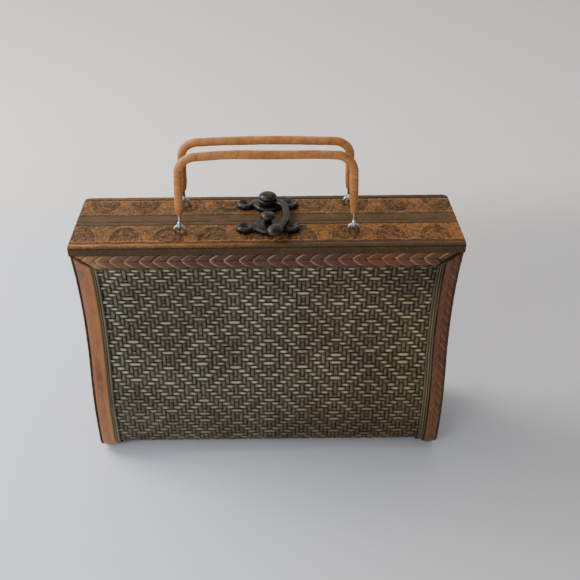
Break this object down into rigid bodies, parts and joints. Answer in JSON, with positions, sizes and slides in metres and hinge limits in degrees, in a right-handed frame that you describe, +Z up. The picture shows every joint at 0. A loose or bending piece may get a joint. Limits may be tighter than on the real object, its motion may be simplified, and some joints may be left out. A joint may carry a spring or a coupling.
{
  "type": "basket box bag",
  "caption": "Small hinged box bag of carved wood and twill-woven strips, waisted in side view, with wrapped wire handles and a swing clasp on top.",
  "frame": {"origin": "centre of the footprint, on the floor the bag stands on", "axes": "+Z up, +X along the seam towards the right end as seen from the front, -Y out of the front tray"},
  "size_m": [0.2, 0.063, 0.1855],
  "materials": {
    "carved_wood": "worn satin stain",
    "end_wood": "worn satin stain",
    "rail_wood": "bare matt",
    "woven_strips": "dry matt weave",
    "plaited_trim": "lacquered plait",
    "bare_strip": "bare worn bark",
    "dark_strip": "matt stain",
    "aged_bronze": "dark antique",
    "steel_wire": "dull plated",
    "hinge_brass": "aged",
    "cane_wrap": "satin cane"
  },
  "bodies": {
    "back_half": {"back_bottom_rail": "rail_wood", "back_clasp_plate": "aged_bronze", "back_clasp_screws": "aged_bronze", "back_hinge_leaves": "hinge_brass", "back_hinge_screws": "hinge_brass", "back_left_end_board": "end_wood", "back_left_eye": "steel_wire", "back_left_inner_strip": "dark_strip", "back_left_strip": "plaited_trim", "back_right_end_board": "end_wood", "back_right_eye": "steel_wire", "back_right_inner_strip": "dark_strip", "back_right_strip": "plaited_trim", "back_top_board": "carved_wood", "back_top_braid": "plaited_trim", "back_woven_panel": "woven_strips", "hinge_pins": "hinge_brass", "clasp_pivot": "aged_bronze"},
    "front_half": {"front_bottom_rail": "rail_wood", "front_clasp_plate": "aged_bronze", "front_clasp_screws": "aged_bronze", "front_hinge_leaves": "hinge_brass", "front_hinge_screws": "hinge_brass", "front_left_end_board": "end_wood", "front_left_eye": "steel_wire", "front_left_inner_strip": "dark_strip", "front_left_strip": "bare_strip", "front_right_end_board": "end_wood", "front_right_eye": "steel_wire", "front_right_inner_strip": "dark_strip", "front_right_strip": "plaited_trim", "front_top_board": "carved_wood", "front_top_braid": "plaited_trim", "front_woven_panel": "woven_strips", "clasp_post": "aged_bronze"},
    "clasp_arm": {"clasp_arm": "aged_bronze"},
    "front_handle": {"front_handle_wire": "steel_wire", "front_handle_wrap": "cane_wrap"},
    "back_handle": {"back_handle_wire": "steel_wire", "back_handle_wrap": "cane_wrap"}
  },
  "joints": [
    {"name": "lid_hinge", "type": "hinge", "parent": "back_half", "child": "front_half", "pos_m": [0, -0.002, 0.0024], "axis": [1, 0, 0], "range_deg": [0, 100]},
    {"name": "clasp_swing", "type": "hinge", "parent": "back_half", "child": "clasp_arm", "pos_m": [0.0008, 0.0128, 0.1438], "axis": [0, 0, 1], "range_deg": [0, 100]},
    {"name": "front_handle_swing", "type": "hinge", "parent": "front_half", "child": "front_handle", "pos_m": [0, -0.014, 0.1451], "axis": [1, 0, 0], "range_deg": [-10, 95]},
    {"name": "back_handle_swing", "type": "hinge", "parent": "back_half", "child": "back_handle", "pos_m": [0, 0.016, 0.1451], "axis": [1, 0, 0], "range_deg": [-110, 3]}
  ]
}
